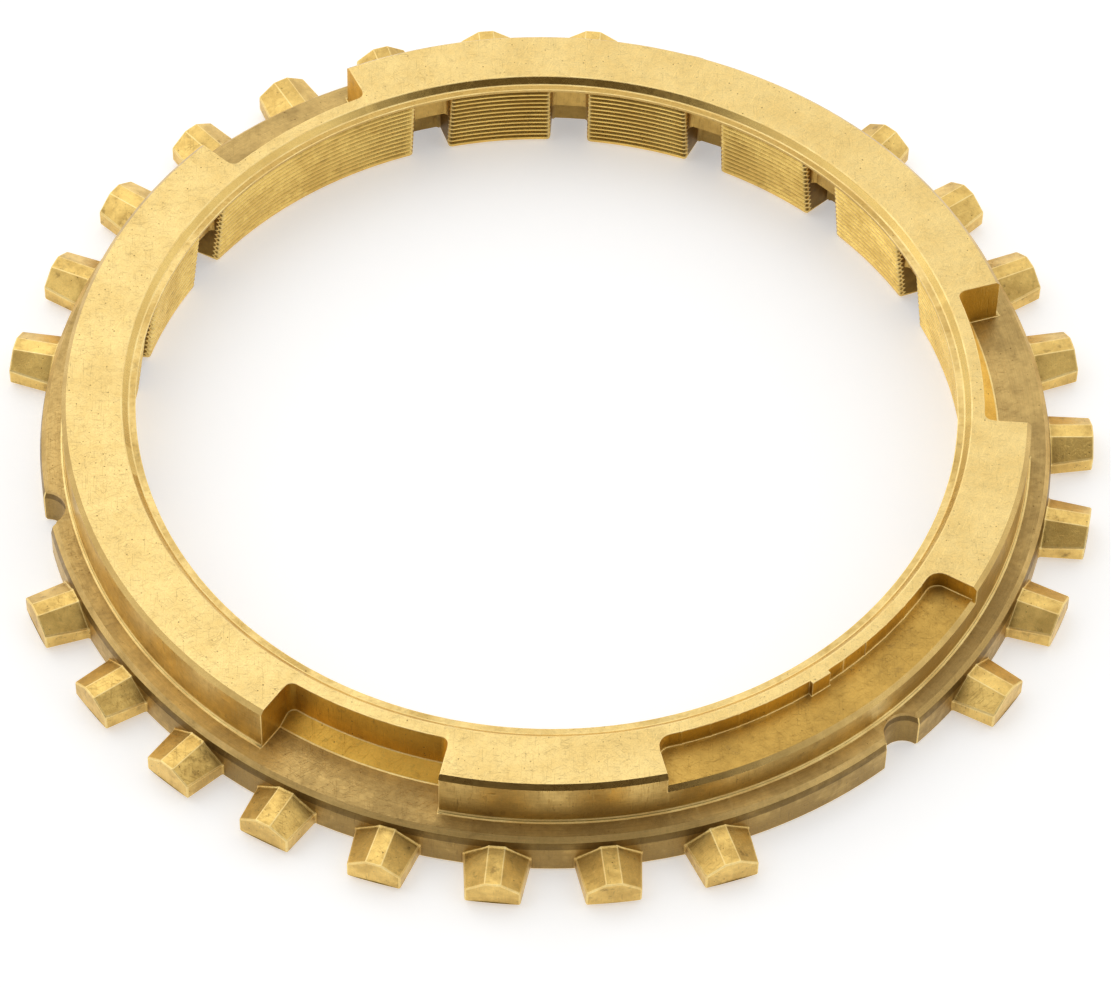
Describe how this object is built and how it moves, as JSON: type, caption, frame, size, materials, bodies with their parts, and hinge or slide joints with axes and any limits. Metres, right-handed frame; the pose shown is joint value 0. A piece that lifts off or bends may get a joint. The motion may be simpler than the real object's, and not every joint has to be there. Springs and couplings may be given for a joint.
{
  "type": "synchronizer ring",
  "caption": "Brass gearbox ring with pointed blocking teeth outside and a grooved friction cone with oil slots inside; key slots in its hub take the synchronizer keys.",
  "frame": {"origin": "on the ring's axis, at the gear-side face", "axes": "+Z along the axis from the gear side to the hub face, +X through the middle of a key slot"},
  "size_m": [0.1178, 0.12, 0.011],
  "materials": {
    "brass": "bright machined hub face, duller tarnished sides and teeth"
  },
  "bodies": {
    "root": {"synchronizer_ring": "brass"}
  },
  "joints": []
}
